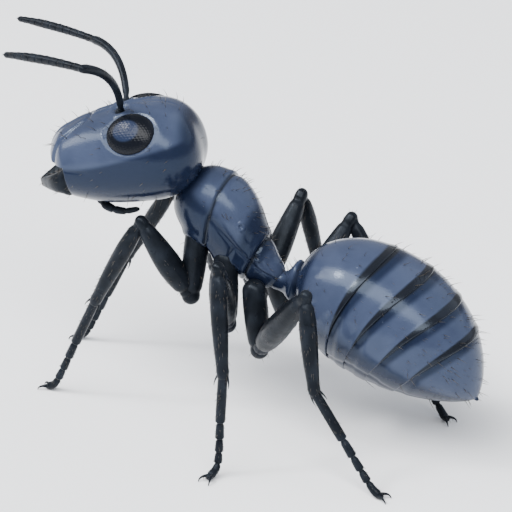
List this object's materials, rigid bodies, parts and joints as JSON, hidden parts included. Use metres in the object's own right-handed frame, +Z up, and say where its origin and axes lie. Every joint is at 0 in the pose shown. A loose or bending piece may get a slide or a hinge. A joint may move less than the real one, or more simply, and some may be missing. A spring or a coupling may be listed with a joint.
{
  "type": "carpenter ant",
  "caption": "Life-size still model of a large carpenter ant worker, standing: broad head with toothed jaws and elbowed feelers, arched back, upright waist scale, banded oval gaster.",
  "frame": {"origin": "on the floor, under the middle of the whole ant", "axes": "+Z up; the ant faces -X and its left side is -Y"},
  "size_m": [0.0262, 0.015, 0.0182],
  "materials": {
    "cuticle": "polished blue-black cuticle",
    "limb": "glossy near-black cuticle",
    "eye": "glossy faceted black"
  },
  "bodies": {
    "root": {"head": "cuticle", "neck": "limb", "eye_left": "eye", "eye_right": "eye", "mandible_left": "limb", "mandible_right": "limb", "palp_left": "limb", "palp_right": "limb", "antenna_left_scape": "limb", "antenna_left_flagellum": "limb", "antenna_right_scape": "limb", "antenna_right_flagellum": "limb", "pronotum": "cuticle", "mesothorax": "cuticle", "propodeum": "cuticle", "petiole": "cuticle", "gaster_1": "cuticle", "gaster_2": "cuticle", "gaster_3": "cuticle", "gaster_4": "cuticle", "gaster_5": "cuticle", "foreleg_left_coxa": "limb", "foreleg_left_femur": "limb", "foreleg_left_tibia": "limb", "foreleg_left_tarsus": "limb", "foreleg_right_coxa": "limb", "foreleg_right_femur": "limb", "foreleg_right_tibia": "limb", "foreleg_right_tarsus": "limb", "midleg_left_coxa": "limb", "midleg_left_femur": "limb", "midleg_left_tibia": "limb", "midleg_left_tarsus": "limb", "midleg_right_coxa": "limb", "midleg_right_femur": "limb", "midleg_right_tibia": "limb", "midleg_right_tarsus": "limb", "hindleg_left_coxa": "limb", "hindleg_left_femur": "limb", "hindleg_left_tibia": "limb", "hindleg_left_tarsus": "limb", "hindleg_right_coxa": "limb", "hindleg_right_femur": "limb", "hindleg_right_tibia": "limb", "hindleg_right_tarsus": "limb"}
  },
  "joints": []
}
